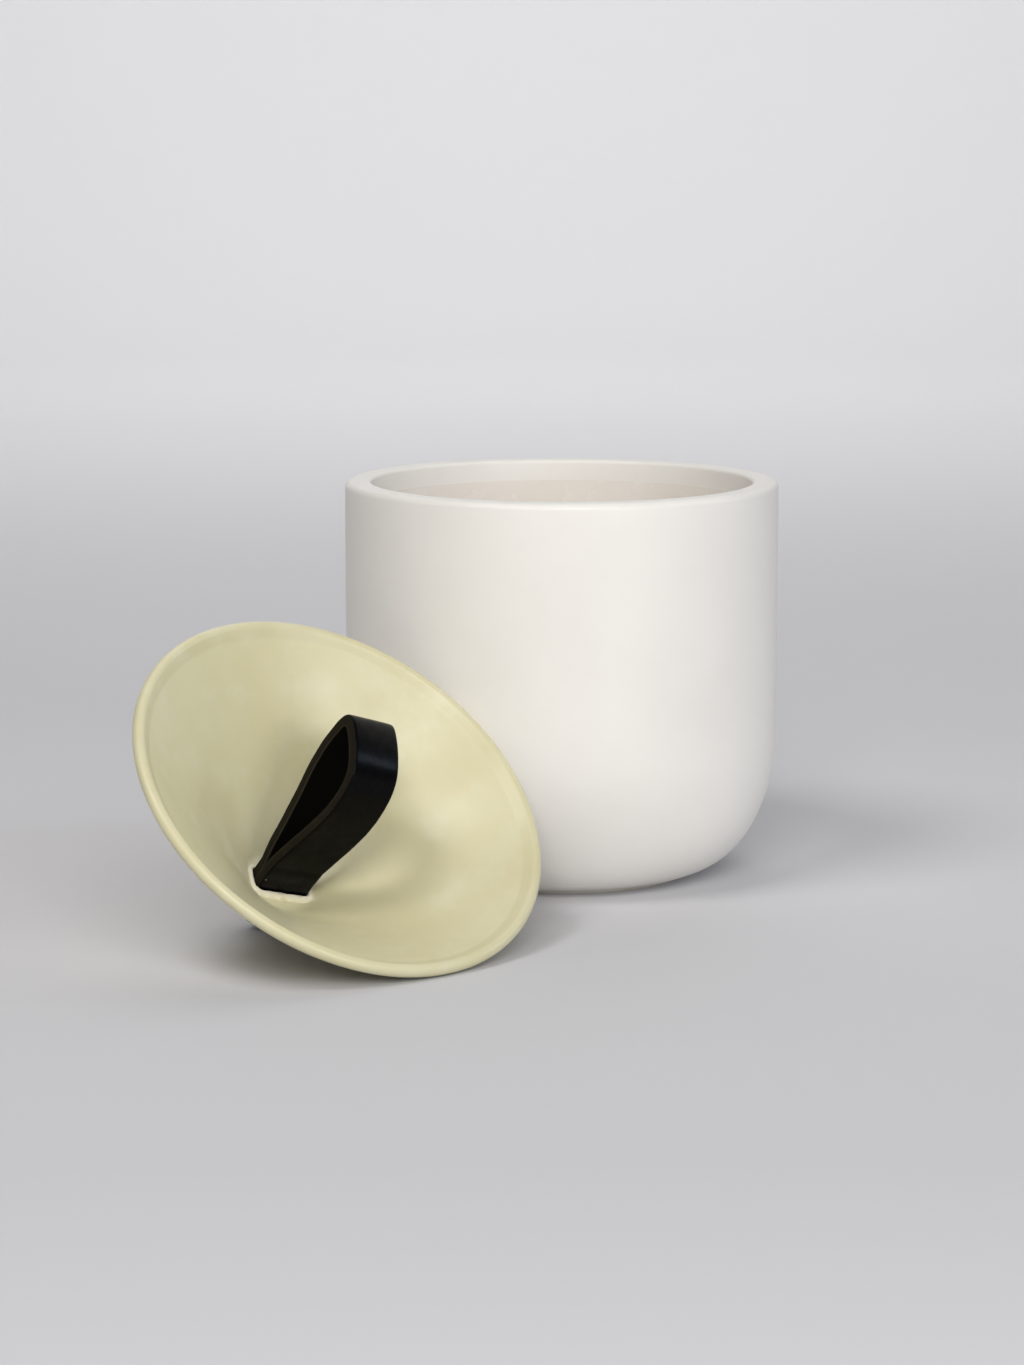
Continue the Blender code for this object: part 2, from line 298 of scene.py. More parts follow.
def rounded_rectangle(half_length, half_width, corner, points):
    outline = []
    for turn, (sx, sy) in enumerate(((1, 1), (-1, 1), (-1, -1), (1, -1))):
        centre = (sx * (half_length - corner), sy * (half_width - corner))
        outline += arc(centre, corner, corner, turn * QUARTER, (turn + 1) * QUARTER, points)
    return outline


# ---------------------------------------------------------------- material helpers

def add_node(tree, kind, inputs, **settings):
    made = tree.nodes.new(kind)
    for name, value in settings.items():
        setattr(made, name, value)
    for name, value in inputs.items():
        if isinstance(value, bpy.types.NodeSocket):
            tree.links.new(value, made.inputs[name])
        else:
            made.inputs[name].default_value = value
    return made


def new_material(name, **constants):
    """A material and its shader, with the values that are the same all over set on the shader."""
    material = bpy.data.materials.new(name)
    material.use_nodes = True
    shader = material.node_tree.nodes["Principled BSDF"]
    for socket, value in constants.items():
        shader.inputs[socket.replace("_", " ").title().replace("Ior", "IOR")].default_value = value
    return material, material.node_tree, shader


def maths(tree, operation, first, second=0.0):
    return add_node(tree, "ShaderNodeMath", {0: first, 1: second}, operation=operation).outputs[0]


def ranged(tree, value, low, high, to_low, to_high):
    inputs = {"Value": value, "From Min": low, "From Max": high, "To Min": to_low, "To Max": to_high}
    return add_node(tree, "ShaderNodeMapRange", inputs).outputs["Result"]


def mixed(tree, share, first, second):
    inputs = {0: share, 6: first, 7: second}
    return add_node(tree, "ShaderNodeMix", inputs, data_type="RGBA").outputs[2]


def noise_value(tree, vector, scale, detail=3.0, roughness=0.5):
    inputs = {"Vector": vector, "Scale": scale, "Detail": detail, "Roughness": roughness}
    return add_node(tree, "ShaderNodeTexNoise", inputs).outputs["Fac"]


def stretched(tree, vector, scale, offset=(0.0, 0.0, 0.0)):
    inputs = {"Vector": vector, "Scale": scale, "Location": offset}
    return add_node(tree, "ShaderNodeMapping", inputs).outputs["Vector"]


def object_place(tree, matrix=None):
    """The object's own coordinates, or those of a frame that is turned and moved within it."""
    place = add_node(tree, "ShaderNodeTexCoord", {}).outputs["Object"]
    if matrix is None:
        return place
    inputs = {"Vector": place, "Location": matrix.to_translation(), "Rotation": matrix.to_euler()}
    return add_node(tree, "ShaderNodeMapping", inputs, vector_type="TEXTURE").outputs["Vector"]


def bumped(tree, height, strength, depth, below=None):
    inputs = {"Height": height, "Strength": strength, "Distance": depth}
    if below is not None:
        inputs["Normal"] = below
    return add_node(tree, "ShaderNodeBump", inputs).outputs["Normal"]


def specks(tree, vector, scale, size, share):
    """1 inside small round specks, 0 elsewhere. Only the given share of the cells has one."""
    cells = add_node(tree, "ShaderNodeTexVoronoi", {"Vector": vector, "Scale": scale})
    choice = add_node(tree, "ShaderNodeSeparateColor", {"Color": cells.outputs["Color"]})
    chosen = maths(tree, "LESS_THAN", choice.outputs[0], share)
    radius = maths(tree, "MULTIPLY", choice.outputs[1], size)
    inside = maths(tree, "LESS_THAN", cells.outputs["Distance"], radius)
    return maths(tree, "MULTIPLY", chosen, inside)


# ---------------------------------------------------------------- materials

def porcelain(name, colour, warm_colour, roughness, coat, offset):
    """Fired clay under a thin glaze: cloudy warmth, pinpoint iron specks and a faint orange peel."""
    material, tree, shader = new_material(
        name, coat_weight=coat, coat_roughness=0.22, specular_ior_level=0.42
    )
    place = stretched(tree, object_place(tree), (1.0, 1.0, 1.0), offset)
    clouds = noise_value(tree, place, 26.0, 4.0, 0.55)
    warmth = mixed(tree, ranged(tree, clouds, 0.35, 0.68, 0.0, 1.0), colour, warm_colour)
    marks = specks(tree, place, 34.0, 0.014, 0.10)
    iron = (0.30, 0.22, 0.14, 1.0)
    marked = mixed(tree, maths(tree, "MULTIPLY", marks, 0.6), warmth, iron)
    tree.links.new(marked, shader.inputs["Base Color"])
    satin = noise_value(tree, place, 140.0, 4.0, 0.6)
    dullness = ranged(tree, satin, 0.3, 0.7, roughness - 0.04, roughness + 0.06)
    tree.links.new(dullness, shader.inputs["Roughness"])
    swell = bumped(tree, noise_value(tree, place, 60.0, 2.0), 0.35, 0.00025)
    peel = bumped(tree, noise_value(tree, place, 900.0, 2.0), 0.3, 0.00002, swell)
    tree.links.new(peel, shader.inputs["Normal"])
    return material


def bisque():
    """Bare fired clay on the foot, where the glaze was wiped off."""
    material, tree, shader = new_material("bare_foot", specular_ior_level=0.2)
    place = object_place(tree)
    grain = noise_value(tree, place, 420.0, 6.0, 0.7)
    clay = mixed(tree, grain, (0.80, 0.76, 0.68, 1.0), (0.62, 0.57, 0.49, 1.0))
    tree.links.new(clay, shader.inputs["Base Color"])
    tree.links.new(ranged(tree, grain, 0.0, 1.0, 0.75, 0.95), shader.inputs["Roughness"])
    tree.links.new(bumped(tree, grain, 0.5, 0.0001), shader.inputs["Normal"])
    return material


def celery_glaze(matrix):
    """Pale green-yellow satin glaze, cloudy where it pooled and cream where it is thin at the slot."""
    material, tree, shader = new_material(
        "celery_glaze", coat_weight=0.34, coat_roughness=0.28, specular_ior_level=0.42
    )
    place = object_place(tree, matrix)
    clouds = noise_value(tree, place, 30.0, 4.0, 0.55)
    pools = noise_value(tree, stretched(tree, place, (1.0, 1.0, 1.6), (0.21, 0.04, 0.13)), 62.0, 5.0, 0.6)
    thin, thick = (0.682, 0.638, 0.416, 1.0), (0.640, 0.594, 0.364, 1.0)
    milky, cream = (0.722, 0.685, 0.495, 1.0), (0.80, 0.745, 0.575, 1.0)
    body = mixed(tree, ranged(tree, clouds, 0.36, 0.66, 0.0, 1.0), thick, thin)
    pooled = mixed(tree, ranged(tree, pools, 0.50, 0.72, 0.0, 0.55), body, milky)
    parts = add_node(tree, "ShaderNodeSeparateXYZ", {0: place})
    long_way = maths(tree, "SUBTRACT", maths(tree, "ABSOLUTE", parts.outputs[0]), SLOT_HALF_LENGTH)
    short_way = maths(tree, "SUBTRACT", maths(tree, "ABSOLUTE", parts.outputs[1]), SLOT_HALF_WIDTH)
    from_slot = maths(tree, "MAXIMUM", long_way, short_way)
    by_slot = ranged(tree, from_slot, 0.7 * MM, 2.2 * MM, 1.0, 0.0)
    tree.links.new(mixed(tree, by_slot, pooled, cream), shader.inputs["Base Color"])
    tree.links.new(ranged(tree, pools, 0.35, 0.7, 0.48, 0.34), shader.inputs["Roughness"])
    swell = bumped(tree, noise_value(tree, place, 70.0, 2.0), 0.4, 0.0003)
    tree.links.new(bumped(tree, pools, 0.3, 0.00008, swell), shader.inputs["Normal"])
    return material


def strip_place(tree):
    """Centimetres along the strip and across it."""
    return add_node(tree, "ShaderNodeUVMap", {}, uv_map="strip").outputs["UV"]


def across_strip(tree, place):
    split = add_node(tree, "ShaderNodeSeparateXYZ", {0: place})
    return maths(tree, "ABSOLUTE", split.outputs[1])


def strap_face():
    """The strap's finished side: black, burnished, drawn grain along it, rubbed at its edges."""
    material, tree, shader = new_material("strap_face", specular_ior_level=0.07)
    place = strip_place(tree)
    drawn = noise_value(tree, stretched(tree, place, (1.4, 42.0, 1.0)), 1.0, 5.0, 0.65)
    fine = stretched(tree, place, (30.0, 38.0, 1.0))
    cells = add_node(tree, "ShaderNodeTexVoronoi", {"Vector": fine, "Scale": 1.0})
    pores = cells.outputs["Distance"]
    scuff = noise_value(tree, stretched(tree, place, (5.0, 9.0, 1.0)), 1.0, 6.0, 0.7)
    edge = ranged(tree, across_strip(tree, place), 0.74, 0.85, 0.0, 1.0)
    rub = maths(tree, "MULTIPLY", edge, ranged(tree, scuff, 0.55, 0.68, 0.0, 1.0))
    worn, fleck = (0.030, 0.023, 0.015, 1.0), (0.42, 0.40, 0.36, 1.0)
    black = mixed(tree, drawn, (0.0008, 0.0008, 0.0010, 1.0), (0.0024, 0.0024, 0.0028, 1.0))
    rubbed = mixed(tree, maths(tree, "MULTIPLY", rub, 0.35), black, worn)
    near_edge = ranged(tree, across_strip(tree, place), 0.60, 0.80, 0.0, 1.0)
    flecks = maths(tree, "MULTIPLY", specks(tree, place, 4.2, 0.10, 0.16), near_edge)
    tree.links.new(mixed(tree, flecks, rubbed, fleck), shader.inputs["Base Color"])
    tree.links.new(ranged(tree, drawn, 0.3, 0.7, 0.20, 0.30), shader.inputs["Roughness"])
    grain = bumped(tree, drawn, 0.35, 0.0001)
    tree.links.new(bumped(tree, pores, 0.18, 0.00006, grain), shader.inputs["Normal"])
    return material


def strap_edge():
    """The cut edge: unfinished olive-brown fibres in layers, paler in a thin band along the inner rim."""
    material, tree, shader = new_material("strap_edge", specular_ior_level=0.1)
    place = strip_place(tree)
    fibres = noise_value(tree, stretched(tree, place, (9.0, 60.0, 1.0)), 1.0, 6.0, 0.7)
    blotches = noise_value(tree, stretched(tree, place, (3.0, 4.0, 1.0)), 1.0, 3.0)
    split = add_node(tree, "ShaderNodeSeparateXYZ", {0: place})
    # A paler colour fills a thin band at the inner rim, where the edge meets the back, mixed with the
    # fibres.
    inner = ranged(tree, split.outputs[1], -0.165, -0.135, 1.0, 0.0)
    dyed, rim_band_colour = (0.0060, 0.0055, 0.0045, 1.0), (0.042, 0.034, 0.020, 1.0)
    brown = mixed(tree, fibres, (0.0045, 0.0038, 0.0020, 1.0), (0.0150, 0.0122, 0.0064, 1.0))
    uneven = mixed(tree, ranged(tree, blotches, 0.45, 0.7, 0.0, 0.7), brown, dyed)
    pale = maths(tree, "MULTIPLY", inner, ranged(tree, fibres, 0.3, 0.6, 0.25, 0.8))
    tree.links.new(mixed(tree, pale, uneven, rim_band_colour), shader.inputs["Base Color"])
    tree.links.new(ranged(tree, fibres, 0.2, 0.8, 0.62, 0.88), shader.inputs["Roughness"])
    tree.links.new(bumped(tree, fibres, 0.6, 0.00018), shader.inputs["Normal"])
    return material


def strap_back():
    """The flesh side inside the loop: black and napped."""
    material, tree, shader = new_material("strap_back", specular_ior_level=0.05)
    place = strip_place(tree)
    nap = noise_value(tree, stretched(tree, place, (28.0, 34.0, 1.0)), 1.0, 6.0, 0.75)
    black = mixed(tree, nap, (0.0008, 0.0007, 0.0006, 1.0), (0.0036, 0.0032, 0.0026, 1.0))
    tree.links.new(black, shader.inputs["Base Color"])
    tree.links.new(ranged(tree, nap, 0.2, 0.8, 0.78, 0.95), shader.inputs["Roughness"])
    tree.links.new(bumped(tree, nap, 0.7, 0.0002), shader.inputs["Normal"])
    return material


def nickel(matrix):
    """Nickel-plated brass, brushed round the head, a little tarnished."""
    material, tree, shader = new_material("nickel", metallic=1.0)
    place = object_place(tree, matrix)
    brushed = noise_value(tree, stretched(tree, place, (240.0, 240.0, 2600.0)), 1.0, 4.0, 0.6)
    tarnish = noise_value(tree, place, 380.0, 4.0, 0.6)
    bright, dull = (0.66, 0.64, 0.60, 1.0), (0.46, 0.43, 0.38, 1.0)
    plating = mixed(tree, ranged(tree, tarnish, 0.4, 0.7, 0.0, 0.7), bright, dull)
    tree.links.new(plating, shader.inputs["Base Color"])
    tree.links.new(ranged(tree, brushed, 0.2, 0.8, 0.22, 0.42), shader.inputs["Roughness"])
    tree.links.new(bumped(tree, brushed, 0.25, 0.00003), shader.inputs["Normal"])
    return material


def paper():
    """The sweep: pale seamless paper, lighter towards the far side where less light falls on it."""
    material, tree, shader = new_material("paper", specular_ior_level=0.15)
    place = add_node(tree, "ShaderNodeNewGeometry", {}).outputs["Position"]
    back = add_node(tree, "ShaderNodeSeparateXYZ", {0: place}).outputs[1]
    middle_share = ranged(tree, back, *FLOOR_MIDDLE, 0.0, 1.0)
    middle = mixed(tree, middle_share, FLOOR_COLOUR, FLOOR_MIDDLE_COLOUR)
    far = mixed(tree, ranged(tree, back, *FLOOR_FAR, 0.0, 1.0), middle, WALL_COLOUR)
    tree.links.new(far, shader.inputs["Base Color"])
    shader.inputs["Roughness"].default_value = 0.85
    return material


# ---------------------------------------------------------------- jar

def jar_profile():
    """From the middle of the inner floor, up and over the lip, down to the middle of the foot."""
    wall = JAR_RADIUS - JAR_BORE_RADIUS
    inner_width = JAR_CORNER_WIDTH - 0.3 * wall
    inner_height = JAR_FOOT_HEIGHT + JAR_CORNER_HEIGHT - JAR_FLOOR_TOP
    inner_centre = (JAR_BORE_RADIUS - inner_width, JAR_FLOOR_TOP + inner_height)
    outer_centre = (JAR_RADIUS - JAR_CORNER_WIDTH, JAR_FOOT_HEIGHT + JAR_CORNER_HEIGHT)
    inner_lip = (JAR_BORE_RADIUS + JAR_LIP_INNER_ROUND, JAR_HEIGHT - JAR_LIP_INNER_ROUND)
    outer_lip = (JAR_RADIUS - JAR_LIP_OUTER_ROUND, JAR_HEIGHT - JAR_LIP_OUTER_ROUND)
    inner_corner = arc(inner_centre, inner_width, inner_height, -QUARTER, 0.0, 40)
    inner_round = arc(inner_lip, JAR_LIP_INNER_ROUND, JAR_LIP_INNER_ROUND, math.pi, QUARTER, 8)
    outer_round = arc(outer_lip, JAR_LIP_OUTER_ROUND, JAR_LIP_OUTER_ROUND, QUARTER, 0.0, 10)
    outer_corner = arc(outer_centre, JAR_CORNER_WIDTH, JAR_CORNER_HEIGHT, 0.0, -QUARTER, 48)
    outer_corner = [point for point in outer_corner if point[0] > JAR_FOOT_RADIUS + 1.2 * MM]
    foot = [
        (JAR_FOOT_RADIUS + 0.45 * MM, 1.36 * MM),
        (JAR_FOOT_RADIUS + 0.08 * MM, 1.12 * MM),
        (JAR_FOOT_RADIUS, 0.8 * MM),
        (JAR_FOOT_RADIUS - 0.02 * MM, 0.42 * MM),
        (JAR_FOOT_RADIUS - 0.16 * MM, 0.12 * MM),
        (JAR_FOOT_RADIUS - 0.5 * MM, 0.0),
    ]
    underside = [
        (JAR_FOOT_RADIUS - 3.6 * MM, 0.0),
        (JAR_FOOT_RADIUS - 4.0 * MM, 0.14 * MM),
        (JAR_FOOT_RADIUS - 4.5 * MM, 0.5 * MM),
        (JAR_FOOT_RADIUS - 5.6 * MM, 0.72 * MM),
    ]
    inside = [(0.0, JAR_FLOOR_TOP)] + straight((0.0, JAR_FLOOR_TOP), inner_corner[0], 12)
    inside += inner_corner + straight(inner_corner[-1], inner_round[0], 14)
    lip = inner_round + straight(inner_round[-1], outer_round[0], 6) + outer_round
    outside = straight(outer_round[-1], outer_corner[0], 14) + outer_corner + foot[:3]
    below = straight(underside[-1], (0.0, 0.72 * MM), 8) + [(0.0, 0.72 * MM)]
    profile = zoned(inside, 0) + zoned(lip, 1) + zoned(outside, 1)
    profile += zoned(foot[3:] + underside, 2) + zoned(below, 1)
    return profile


def jar_shape(radius, height, angle):
    """The small unevenness of a turned and fired pot, never outside the nominal size."""
    out = radius / JAR_RADIUS
    lean = 0.5 + 0.5 * math.sin(2.0 * angle + 0.8 + 9.0 * height)
    drift = 0.5 + 0.5 * noise.noise(Vector((2.2 * math.cos(angle), 2.2 * math.sin(angle), 34.0 * height)))
    radius = radius * FACET_ALLOWANCE - 0.10 * MM * out * lean - 0.10 * MM * out * drift
    lift = smoothstep((height - JAR_HEIGHT + 6.0 * MM) / (6.0 * MM))
    dip = 0.5 + 0.5 * noise.noise(Vector((3.1 * math.cos(angle), 3.1 * math.sin(angle), 7.7)))
    return radius, height - 0.22 * MM * lift * dip


def make_jar():
    mesh = turned_mesh("jar_body", jar_profile(), JAR_STEPS, jar_shape)
    cream, light_cream = (0.835, 0.780, 0.715, 1), (0.860, 0.810, 0.750, 1)
    chalk, light_chalk = (0.838, 0.810, 0.760, 1), (0.868, 0.840, 0.790, 1)
    inside = porcelain("jar_inside_glaze", cream, light_cream, 0.24, 0.45, (0.31, 0.17, 0.05))
    outside = porcelain("jar_outside_glaze", chalk, light_chalk, 0.44, 0.10, (0.0, 0.0, 0.0))
    for material in (inside, outside, bisque()):
        mesh.materials.append(material)
    jar = new_object("jar_body", mesh)
    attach(jar, "jar")
    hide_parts("jar")
    return jar


# ---------------------------------------------------------------- lid

def dish_share(radius):
    """0 at the dish's edge, 1 at the edge of its small flat bottom."""
    return (LID_CONE_TOP_RADIUS - radius) / (LID_CONE_TOP_RADIUS - LID_BOTTOM_RADIUS)


def dish_slope(radius):
    """Fall of the dish towards its middle, steepest at its flat bottom."""
    return LID_EDGE_SLOPE + (LID_BOTTOM_SLOPE - LID_EDGE_SLOPE) * dish_share(radius)


def dish_wall_height(radius):
    run = LID_CONE_TOP_RADIUS - radius
    return LID_CONE_TOP_Z - run * (LID_EDGE_SLOPE + dish_slope(radius)) / 2


def dish_height(radius):
    """Height of the dish's surface: flat at the bottom, then eased into the sloping wall."""
    if radius <= LID_FLAT_RADIUS:
        return -LID_DEPTH
    if radius >= LID_BOTTOM_RADIUS:
        return dish_wall_height(radius)
    width = LID_BOTTOM_RADIUS - LID_FLAT_RADIUS
    share = (radius - LID_FLAT_RADIUS) / width
    rise = dish_wall_height(LID_BOTTOM_RADIUS) + LID_DEPTH
    leave = dish_slope(LID_BOTTOM_RADIUS) * width
    bend = rise * (3 * share ** 2 - 2 * share ** 3) + leave * (share ** 3 - share ** 2)
    return bend - LID_DEPTH


def underside_point(radius):
    """The point of the underside that is square across the wall from the dish."""
    wall = LID_EDGE_WALL + (LID_BOTTOM_WALL - LID_EDGE_WALL) * dish_share(radius)
    angle = math.atan(dish_slope(radius))
    return (radius + wall * math.sin(angle), dish_wall_height(radius) - wall * math.cos(angle))


def lid_profile():
    """From the flat bottom's middle, up the dish, over the rolled edge, down the underside."""
    radii = [LID_DISH_REACH * index / LID_DISH_POINTS for index in range(LID_DISH_POINTS + 1)]
    dish = [(radius, dish_height(radius)) for radius in radii]
    roll = (LID_RADIUS - LID_ROLL_RADIUS, 0.0)
    size = LID_ROLL_RADIUS
    edge = arc(roll, size, size, math.radians(146), math.radians(-75), 30)
    eased, rest = edge[:6], edge[5:]
    crease = [dish[-1], *straight(dish[-1], edge[0], 6), *eased]
    crease = [tuple(point) for point in softened([Vector(point) for point in crease], 6)]
    below = [underside_point(radius) for radius in reversed(radii) if radius > LID_BOTTOM_RADIUS]
    under = -LID_DEPTH - LID_BOTTOM_WALL
    hub = [
        (LID_BOTTOM_RADIUS + 0.9 * MM, under + 1.75 * MM),
        (LID_BOTTOM_RADIUS + 0.1 * MM, under + 1.05 * MM),
        (LID_BOTTOM_RADIUS - 0.8 * MM, under + 0.5 * MM),
        (LID_BOTTOM_RADIUS - 1.8 * MM, under + 0.15 * MM),
        (LID_BOTTOM_RADIUS - 3.0 * MM, under),
        (0.0, under),
    ]
    return zoned(dish + crease[1:-1] + rest + below + hub, 0)


def lid_shape(radius, height, angle):
    """The small unevenness of the lid, most of it near the dish's middle."""
    wave = 0.5 + 0.5 * math.sin(3.0 * angle + 1.9)
    drift = noise.noise(Vector((2.0 * math.cos(angle), 2.0 * math.sin(angle), 60.0 * radius)))
    share = radius / LID_RADIUS
    height += 0.09 * MM * drift * (1.0 - share)
    return radius * FACET_ALLOWANCE - 0.10 * MM * share * wave, height - 0.08 * MM * share * wave


def refine(outline, spacing):
    """The closed outline with points at an even spacing."""
    points = [Vector(point) for point in outline]
    made = []
    for index, point in enumerate(points):
        following = points[(index + 1) % len(points)]
        pieces = max(1, round((following - point).length / spacing))
        made += [tuple(point.lerp(following, step / pieces)) for step in range(pieces)]
    return made


def slot_lip_mesh():
    """Glaze and clay pushed up round the slot in an uneven bead that lies on the dish."""
    proud = 0.55 * MM
    corner = SLOT_CORNER + 0.5 * MM
    outline = rounded_rectangle(SLOT_HALF_LENGTH + proud, SLOT_HALF_WIDTH + proud, corner, 10)
    outline = refine(outline, 0.5 * MM)
    sides = 10
    built = bmesh.new()
    rings = []
    for index, (x, y) in enumerate(outline):
        ahead = Vector(outline[(index + 1) % len(outline)])
        behind = Vector(outline[index - 1])
        along = (ahead - behind).normalized()
        outward = Vector((along.y, -along.x))
        swell = noise.noise(Vector((x, y, 0.0)) * 420.0)
        chip = noise.noise(Vector((x, y, 0.01)) * 1300.0)
        facing = outward.dot(Vector((-0.4, -0.9)))
        size = (0.80 + 0.75 * max(facing, 0.0) + 0.30 * swell + 0.14 * chip) * MM
        base = dish_height(math.hypot(x, y)) - 0.12 * MM
        ring = []
        for step in range(sides):
            turn = math.tau * step / sides
            shift = outward * size * 1.15 * math.cos(turn)
            lift = size * 0.70 * math.sin(turn)
            ring.append(built.verts.new((x + shift.x, y + shift.y, base + lift)))
        rings.append(ring)
    for index, ring in enumerate(rings):
        following = rings[(index + 1) % len(rings)]
        for step in range(sides):
            after = (step + 1) % sides
            face = built.faces.new((ring[step], ring[after], following[after], following[step]))
            face.smooth = True
    return mesh_from("slot_lip", built)


def make_lid(matrix):
    mesh = turned_mesh("lid_cone", lid_profile(), LID_STEPS, lid_shape)
    lid = new_object("lid_cone", mesh, matrix)
    combine(lid, new_object("slot_lip", slot_lip_mesh(), matrix), "UNION")
    outline = rounded_rectangle(SLOT_HALF_LENGTH, SLOT_HALF_WIDTH, SLOT_CORNER, 8)
    cutter = prism_mesh("slot_cutter", outline, -LID_DEPTH - 12.0 * MM, -LID_DEPTH + 16.0 * MM)
    combine(lid, new_object("slot_cutter", cutter, matrix), "DIFFERENCE")
    settle(lid)
    lid.data.materials.clear()
    lid.data.materials.append(celery_glaze(matrix))
    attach(lid, "lid")
    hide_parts("lid")
    return lid


# ---------------------------------------------------------------- strap

def spline_through(points, per_span):
    """Catmull-Rom curve through the points, its end tangents along the end spans."""
    before = (2 * points[0][0] - points[1][0], 2 * points[0][1] - points[1][1])
    after = (2 * points[-1][0] - points[-2][0], 2 * points[-1][1] - points[-2][1])
    padded = [before, *points, after]
    samples = []
    for index in range(len(points) - 1):
        p0, p1, p2, p3 = (Vector(point) for point in padded[index:index + 4])
        for step in range(per_span):
            t = step / per_span
            cubic = 2 * p1 + (p2 - p0) * t + (2 * p0 - 5 * p1 + 4 * p2 - p3) * t ** 2
            cubic += (3 * p1 - p0 - 3 * p2 + p3) * t ** 3
            samples.append(cubic / 2)
    samples.append(Vector(points[-1]))
    return samples


def evenly_spaced(points, spacing):
    """The open line cut again into equal steps of about the spacing."""
    lengths = [0.0]
    for first, second in zip(points, points[1:]):
        lengths.append(lengths[-1] + (second - first).length)
    count = round(lengths[-1] / spacing)
    made = []
    span = 0
    for step in range(count + 1):
        target = lengths[-1] * step / count
        while span < len(points) - 2 and lengths[span + 1] < target:
            span += 1
        share = (target - lengths[span]) / max(lengths[span + 1] - lengths[span], 1e-12)
        made.append(points[span].lerp(points[span + 1], min(share, 1.0)))
    return made


def strap_line():
    """The strip's mid-line from one tail's end, round the loop, to the other tail's end."""
    depth = STRAP_TAIL_END - STRAP_BEND_DEPTH
    side = LOOP_SPINE[0][0]
    line = [Vector((side, -depth))] + spline_through(LOOP_SPINE, 24) + [Vector((-side, -depth))]
    return softened(evenly_spaced(line, STRAP_SAMPLE), 14)


def strap_section(half_width):
    """Points round the strip, each with its height through the thickness, and the side it ends."""
    half = STRAP_THICKNESS / 2
    crown = STRAP_CROWN
    face_round = STRAP_FACE_ROUND
    back_round = STRAP_BACK_ROUND
    reach = max(half_width - face_round, 0.02 * MM)
    back_reach = max(half_width - back_round, 0.02 * MM)
    section = []
    for step in range(21):
        x = -reach + 2 * reach * step / 20
        section.append((x, half - crown * (x / STRAP_WIDTH * 2) ** 2, FACE))
    low = half - crown
    for x, h in arc((reach, low - face_round), face_round, face_round, QUARTER, 0.0, 4)[1:]:
        section.append((x, h, FACE))
    for step in range(1, 6):
        h = low - face_round + (back_round - half - low + face_round) * step / 6
        section.append((half_width + 0.10 * MM * math.sin(math.pi * step / 6), h, EDGE))
    for x, h in arc((back_reach, back_round - half), back_round, back_round, 0.0, -QUARTER, 3):
        section.append((x, h, EDGE))
    for step in range(1, 21):
        section.append((back_reach - 2 * back_reach * step / 20, -half, BACK))
    for x, h in arc((-back_reach, back_round - half), back_round, back_round, -QUARTER, -math.pi, 3)[1:]:
        section.append((x, h, EDGE))
    for step in range(1, 6):
        h = back_round - half + (low - face_round - back_round + half) * step / 6
        section.append((-half_width - 0.10 * MM * math.sin(math.pi * step / 6), h, EDGE))
    for x, h in arc((-reach, low - face_round), face_round, face_round, math.pi, QUARTER, 4)[:-1]:
        section.append((x, h, EDGE if x < -reach - 0.9 * face_round else FACE))
    return section


def lean_and_twist(x, y, z):
    """Roll the loop sideways over its lower half, and twist it evenly towards its top."""
    height = max(z, 0.0)
    twist = LOOP_TWIST * height / LOOP_TOP
    share = min(1.0, height / (0.5 * LOOP_TOP))
    roll = LOOP_ROLL * share * (2.0 - share)
    across = x * math.cos(twist)
    return Vector((
        across + height * math.sin(roll),
        y + x * math.sin(twist),
        z - across * math.sin(roll),
    ))


def bend_over_slot(point):
    """Lean the loop over at the bend line, easing in over a few millimetres."""
    lean = LOOP_LEAN * smoothstep((point.z + 2.5 * MM) / (6.0 * MM))
    turned = Matrix.Rotation(-lean, 3, "X") @ point
    return turned - Vector((0.0, 0.0, STRAP_BEND_DEPTH))


def cut_wander(x, h, along):
    """A hand-cut edge wanders, and the worn face is never quite flat."""
    edge = smoothstep((abs(x) - 7.2 * MM) / (1.2 * MM))
    side = math.copysign(1.0, x)
    slow = noise.noise(Vector((along * 190.0, side * 3.0, 0.4)))
    fine = noise.noise(Vector((along * 900.0, side * 5.0, h * 700.0)))
    ripple = noise.noise(Vector((along * 260.0, x * 240.0, 5.1)))
    return x + side * edge * (0.10 * slow + 0.05 * fine) * MM, h + 0.05 * MM * ripple * (1.0 - edge)


def strip_half_width(into):
    """Half the strip's width at a distance from its nearer end, which is a half circle."""
    half = STRAP_WIDTH / 2
    if into >= half:
        return half
    return max(math.sqrt(max(half ** 2 - (half - into) ** 2, 0.0)), STRAP_TIP_HALF_WIDTH)


def strap_rings(built):
    """One ring of points for each sample of the line. Each has its side and its place on the strip."""
    line = strap_line()
    last = len(line) - 1
    total = STRAP_SAMPLE * last
    rings = []
    for index, sample in enumerate(line):
        along = total * index / last
        tangent = (line[min(index + 1, last)] - line[max(index - 1, 0)]).normalized()
        outward = Vector((-tangent.y, tangent.x))
        ring = []
        for x, h, side in strap_section(strip_half_width(min(along, total - along))):
            x, h = cut_wander(x, h, along)
            place = lean_and_twist(x, sample.x + outward.x * h, sample.y + outward.y * h)
            reading = h if side == EDGE else x
            ring.append((built.verts.new(bend_over_slot(place)), side, along * 100.0, reading * 100.0))
        rings.append(ring)
    return rings


def strap_mesh():
    built = bmesh.new()
    strip_uv = built.loops.layers.uv.new("strip")
    rings = strap_rings(built)
    count = len(rings[0])
    for first, second in zip(rings, rings[1:]):
        for index in range(count):
            after = (index + 1) % count
            corners = (first[index], first[after], second[after], second[index])
            face = built.faces.new([corner[0] for corner in corners])
            face.smooth = True
            face.material_index = first[after][1]
            for loop, corner in zip(face.loops, corners):
                loop[strip_uv].uv = (corner[2], corner[3])
    for ring in (rings[0], rings[-1]):
        face = built.faces.new([corner[0] for corner in ring])
        face.material_index = EDGE
    return mesh_from("strap_strip", built)


